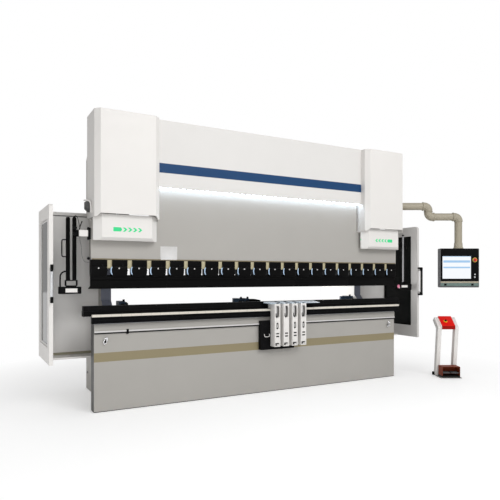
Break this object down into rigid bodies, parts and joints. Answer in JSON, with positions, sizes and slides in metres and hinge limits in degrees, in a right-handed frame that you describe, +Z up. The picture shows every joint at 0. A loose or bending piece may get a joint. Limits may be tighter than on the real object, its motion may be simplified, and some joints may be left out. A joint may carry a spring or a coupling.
{
  "type": "cnc hydraulic press brake",
  "caption": "Hydraulic press brake with covered cylinders, segmented clamps, front sheet supports, side doors, back gauge, swinging control panel and a pedal stand.",
  "frame": {"origin": "on the floor at mid-length, in the bending plane where punch and die meet", "axes": "+X along the machine to its right-hand end as the operator sees it, +Y away from the operator, +Z up"},
  "size_m": [5.3666, 1.7677, 2.915],
  "materials": {
    "cover_white": "satin powder coat",
    "machine_grey": "satin paint",
    "tool_black": "blackened steel",
    "tool_steel": "ground steel",
    "chrome_rod": "ground chrome",
    "rail_black": "black anodised",
    "strip_cream": "satin paint",
    "lamp_white": "diffuser",
    "arm_beige": "satin paint",
    "pendant_grey": "satin paint",
    "screen_glass": "lit screen",
    "stop_red": "gloss",
    "stand_red": "satin paint",
    "stand_grey": "satin paint",
    "wheel_black": "rubber",
    "window_tint": "tinted",
    "motor_blue": "satin paint"
  },
  "bodies": {
    "machine": {"bed_plate": "machine_grey", "crowning_bed": "tool_steel", "die_holder": "tool_black", "v_die": "tool_black", "front_rail": "rail_black", "rail_strip": "strip_cream", "left_frame": "machine_grey", "right_frame": "machine_grey", "oil_tank": "machine_grey", "cylinders": "machine_grey", "left_cylinder_cover": "cover_white", "right_cylinder_cover": "cover_white", "light_covers": "cover_white", "front_fascia": "cover_white", "lamp_strip": "lamp_white", "left_rear_guard": "machine_grey", "right_rear_guard": "machine_grey", "arm_bracket_pipe": "arm_beige", "arm_flange": "arm_beige", "support_rest": "tool_black", "gauge_guides": "tool_steel", "drive_shelf": "machine_grey", "motor_pump": "motor_blue", "electrical_cabinet": "cover_white", "stand_base": "stand_red", "stand_legs": "stand_grey", "stand_head": "stand_red", "stand_wheels": "wheel_black"},
    "ram_group": {"ram": "machine_grey", "clamps": "tool_black", "clamp_keys": "tool_steel", "punch": "tool_black", "piston_rods": "chrome_rod", "laser_mounts": "tool_black"},
    "left_laser": {"left_laser_columns": "tool_black", "left_laser_sender": "tool_black", "sender_lead": "rail_black"},
    "right_laser": {"right_laser_rod": "chrome_rod", "right_laser_receiver": "tool_black"},
    "left_door_leaf": {"left_door": "cover_white", "left_door_window": "window_tint"},
    "right_door_leaf": {"right_door": "cover_white", "right_door_window": "window_tint"},
    "arm": {"swing_arm": "arm_beige"},
    "pendant_box": {"pendant": "pendant_grey", "pendant_screen": "screen_glass"},
    "stop_button": {"pendant_stop": "stop_red"},
    "gauge": {"gauge_shoes": "tool_steel", "gauge_beam": "tool_steel"},
    "gauge_finger_1": {"finger_1": "motor_blue"},
    "gauge_finger_2": {"finger_2": "motor_blue"},
    "gauge_finger_3": {"finger_3": "motor_blue"},
    "gauge_finger_4": {"finger_4": "motor_blue"},
    "sheet_support_1": {"support_1": "cover_white"},
    "sheet_support_2": {"support_2": "cover_white"},
    "sheet_support_3": {"support_3": "cover_white"},
    "sheet_support_4": {"support_4": "cover_white"},
    "pedal_left": {"left_pedal": "tool_steel"},
    "pedal_right": {"right_pedal": "tool_steel"}
  },
  "joints": [
    {"name": "ram_slide", "type": "slide", "parent": "machine", "child": "ram_group", "axis": [0, 0, -1], "range_m": [0, 0.155]},
    {"name": "left_laser_height", "type": "slide", "parent": "ram_group", "child": "left_laser", "axis": [0, 0, 1], "range_m": [0, 0.1]},
    {"name": "right_laser_height", "type": "slide", "parent": "ram_group", "child": "right_laser", "axis": [0, 0, 1], "range_m": [0, 0.1]},
    {"name": "left_door_hinge", "type": "hinge", "parent": "machine", "child": "left_door_leaf", "pos_m": [-2.3475, 0.674, 1.2], "axis": [0, 0, -1], "range_deg": [0, 100]},
    {"name": "right_door_hinge", "type": "hinge", "parent": "machine", "child": "right_door_leaf", "pos_m": [2.3475, 0.674, 1.2], "axis": [0, 0, 1], "range_deg": [0, 100]},
    {"name": "arm_swing", "type": "hinge", "parent": "machine", "child": "arm", "pos_m": [2.4, -0.21, 2.256], "axis": [0, 0, -1], "range_deg": [0, 90]},
    {"name": "pendant_swivel", "type": "hinge", "parent": "arm", "child": "pendant_box", "pos_m": [2.75305, -0.40433, 1.7], "axis": [0, 0, 1], "range_deg": [-60, 60]},
    {"name": "stop_push", "type": "slide", "parent": "pendant_box", "child": "stop_button", "axis": [0.4822, 0.8761, 0], "range_m": [0, 0.005]},
    {"name": "gauge_depth", "type": "slide", "parent": "machine", "child": "gauge", "axis": [0, 1, 0], "range_m": [-0.28, 0.3]},
    {"name": "finger_1_shift", "type": "slide", "parent": "gauge", "child": "gauge_finger_1", "axis": [1, 0, 0], "range_m": [0, 1]},
    {"name": "finger_2_shift", "type": "slide", "parent": "gauge", "child": "gauge_finger_2", "axis": [-1, 0, 0], "range_m": [0, 0.3]},
    {"name": "finger_3_shift", "type": "slide", "parent": "gauge", "child": "gauge_finger_3", "axis": [1, 0, 0], "range_m": [0, 0.3]},
    {"name": "finger_4_shift", "type": "slide", "parent": "gauge", "child": "gauge_finger_4", "axis": [-1, 0, 0], "range_m": [0, 1]},
    {"name": "support_1_slide", "type": "slide", "parent": "machine", "child": "sheet_support_1", "axis": [-1, 0, 0], "range_m": [0, 1.5]},
    {"name": "support_2_slide", "type": "slide", "parent": "machine", "child": "sheet_support_2", "axis": [-1, 0, 0], "range_m": [0, 0.5]},
    {"name": "support_3_slide", "type": "slide", "parent": "machine", "child": "sheet_support_3", "axis": [1, 0, 0], "range_m": [0, 0.5]},
    {"name": "support_4_slide", "type": "slide", "parent": "machine", "child": "sheet_support_4", "axis": [1, 0, 0], "range_m": [0, 1.5]},
    {"name": "left_pedal_press", "type": "hinge", "parent": "machine", "child": "pedal_left", "pos_m": [2.53694, -0.4199, 0.067], "axis": [0.8761, -0.4822, 0], "range_deg": [0, 11], "stiffness_Nm_per_rad": 8, "springref_deg": -20.05},
    {"name": "right_pedal_press", "type": "hinge", "parent": "machine", "child": "pedal_right", "pos_m": [2.53694, -0.4199, 0.067], "axis": [0.8761, -0.4822, 0], "range_deg": [0, 11], "stiffness_Nm_per_rad": 8, "springref_deg": -20.05}
  ],
  "couplings": [
    {"joint": "support_2_slide", "follows": "support_1_slide", "ratio": 0.33333},
    {"joint": "support_3_slide", "follows": "support_4_slide", "ratio": 0.33333}
  ]
}
